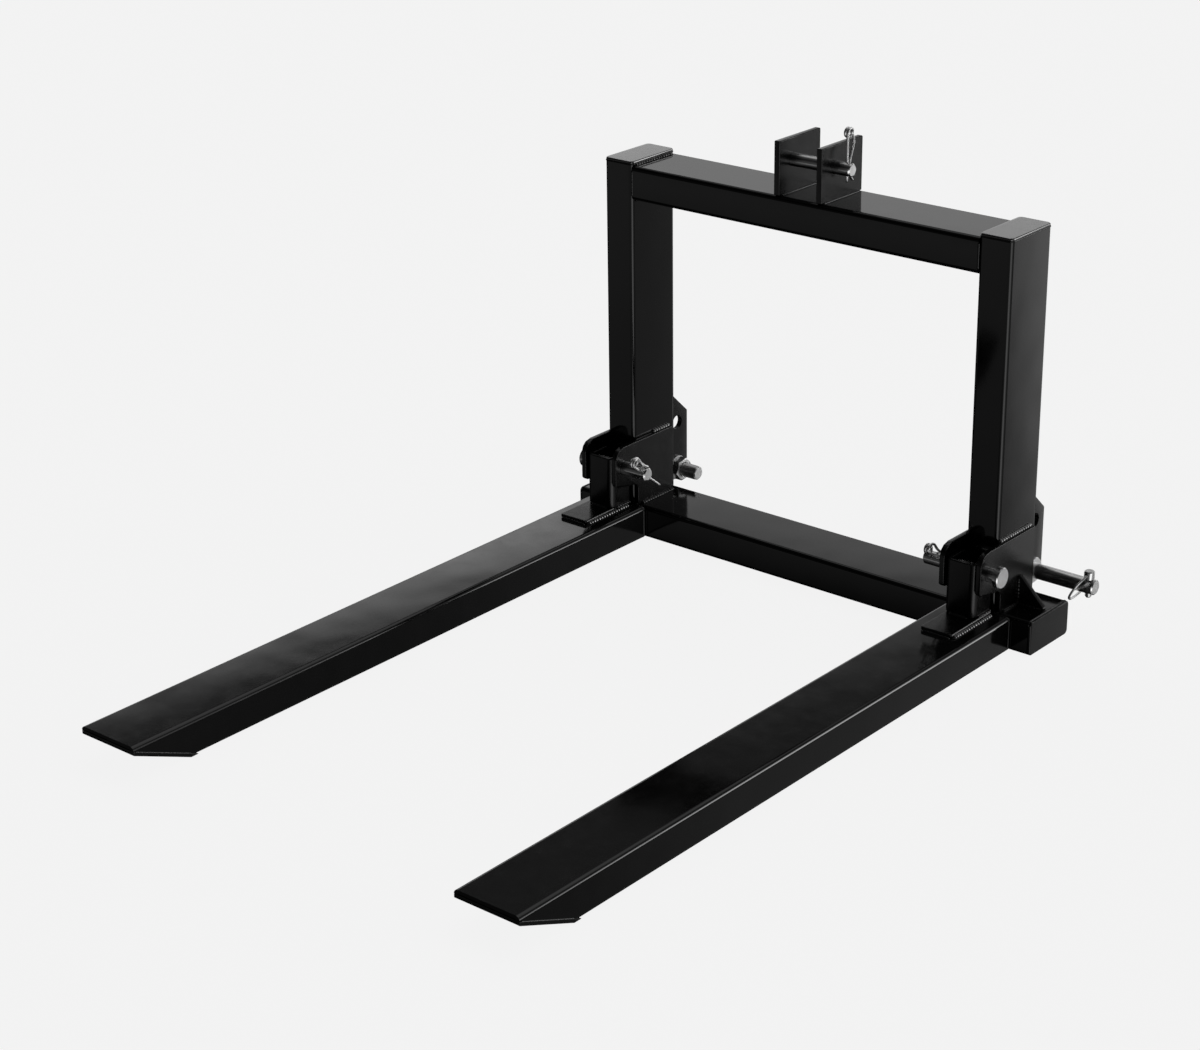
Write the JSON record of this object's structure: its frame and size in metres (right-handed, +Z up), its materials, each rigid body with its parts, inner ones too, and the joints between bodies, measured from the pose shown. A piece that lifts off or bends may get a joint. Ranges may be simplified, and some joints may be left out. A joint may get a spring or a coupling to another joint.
{
  "type": "pallet fork attachment",
  "caption": "Black painted fold-up pallet fork carrier for a tractor three-point hitch: tube frame, hinged box forks, zinc pins and spring clips.",
  "frame": {"origin": "middle of the base beam's underside, on the floor", "axes": "+Z up, forks point to -Y, tractor at +Y, +X is right seen from the fork tips"},
  "size_m": [0.86, 1.1718, 0.6826],
  "materials": {
    "black_paint": "gloss",
    "zinc_plate": "satin"
  },
  "bodies": {
    "frame": {"top_beam": "black_paint", "base_beam": "black_paint", "post_left": "black_paint", "post_right": "black_paint", "post_cap_left": "black_paint", "post_cap_right": "black_paint", "base_beam_cap_left": "black_paint", "base_beam_cap_right": "black_paint", "side_plate_left_outer": "black_paint", "side_plate_left_inner": "black_paint", "side_plate_right_outer": "black_paint", "side_plate_right_inner": "black_paint", "gusset_left": "black_paint", "gusset_right": "black_paint", "hitch_lug_left": "black_paint", "hitch_lug_right": "black_paint", "top_link_ear_left": "black_paint", "top_link_ear_right": "black_paint", "hitch_pin_left": "zinc_plate", "hitch_pin_right": "zinc_plate", "hitch_washer_left": "zinc_plate", "hitch_washer_right": "zinc_plate", "hitch_nut_left": "zinc_plate", "hitch_nut_right": "zinc_plate"},
    "fork_left": {"fork_tube_left": "black_paint", "fork_tip_plate_left": "black_paint", "fork_heel_cap_left": "black_paint", "fork_pad_left": "black_paint", "fork_bracket_left": "black_paint"},
    "fork_right": {"fork_tube_right": "black_paint", "fork_tip_plate_right": "black_paint", "fork_heel_cap_right": "black_paint", "fork_pad_right": "black_paint", "fork_bracket_right": "black_paint"},
    "pivot_pin_left_body": {"pivot_pin_left": "zinc_plate"},
    "pivot_pin_right_body": {"pivot_pin_right": "zinc_plate"},
    "pivot_clip_left_body": {"pivot_clip_left": "zinc_plate"},
    "pivot_clip_right_body": {"pivot_clip_right": "zinc_plate"},
    "top_link_pin_body": {"top_link_pin": "zinc_plate"},
    "top_link_clip_body": {"top_link_clip": "zinc_plate"},
    "linchpin_left_body": {"linchpin_left": "zinc_plate"},
    "linchpin_right_body": {"linchpin_right": "zinc_plate"},
    "linchpin_ring_left_body": {"linchpin_ring_left": "zinc_plate"},
    "linchpin_ring_right_body": {"linchpin_ring_right": "zinc_plate"}
  },
  "joints": [
    {"name": "fork_left_fold", "type": "hinge", "parent": "frame", "child": "fork_left", "pos_m": [-0.3238, -0.082, 0.121], "axis": [-1, 0, 0], "range_deg": [0, 102]},
    {"name": "fork_right_fold", "type": "hinge", "parent": "frame", "child": "fork_right", "pos_m": [0.3238, -0.082, 0.121], "axis": [-1, 0, 0], "range_deg": [0, 102]},
    {"name": "pivot_pin_left_slide", "type": "slide", "parent": "frame", "child": "pivot_pin_left_body", "axis": [-1, 0, 0], "range_m": [-0.0025, 0.0275]},
    {"name": "pivot_clip_left_pull", "type": "slide", "parent": "pivot_pin_left_body", "child": "pivot_clip_left_body", "axis": [0, -0.788, 0.6157], "range_m": [0, 0.042]},
    {"name": "pivot_pin_right_slide", "type": "slide", "parent": "frame", "child": "pivot_pin_right_body", "axis": [1, 0, 0], "range_m": [-0.0135, 0.0165]},
    {"name": "pivot_clip_right_pull", "type": "slide", "parent": "pivot_pin_right_body", "child": "pivot_clip_right_body", "axis": [0, -0.788, 0.6157], "range_m": [0, 0.042]},
    {"name": "top_link_pin_slide", "type": "slide", "parent": "frame", "child": "top_link_pin_body", "axis": [-1, 0, 0], "range_m": [-0.0018, 0.013]},
    {"name": "top_link_clip_pull", "type": "slide", "parent": "top_link_pin_body", "child": "top_link_clip_body", "axis": [0, 0, 1], "range_m": [0, 0.032]},
    {"name": "linchpin_left_lift", "type": "slide", "parent": "frame", "child": "linchpin_left_body", "axis": [0, 0, 1], "range_m": [0, 0.005]},
    {"name": "linchpin_ring_left_swing", "type": "hinge", "parent": "linchpin_left_body", "child": "linchpin_ring_left_body", "pos_m": [-0.419, 0.079, 0.0828], "axis": [0, -1, 0], "range_deg": [-30, 8]},
    {"name": "linchpin_right_lift", "type": "slide", "parent": "frame", "child": "linchpin_right_body", "axis": [0, 0, 1], "range_m": [0, 0.005]},
    {"name": "linchpin_ring_right_swing", "type": "hinge", "parent": "linchpin_right_body", "child": "linchpin_ring_right_body", "pos_m": [0.419, 0.079, 0.0828], "axis": [0, 1, 0], "range_deg": [-30, 8]}
  ]
}
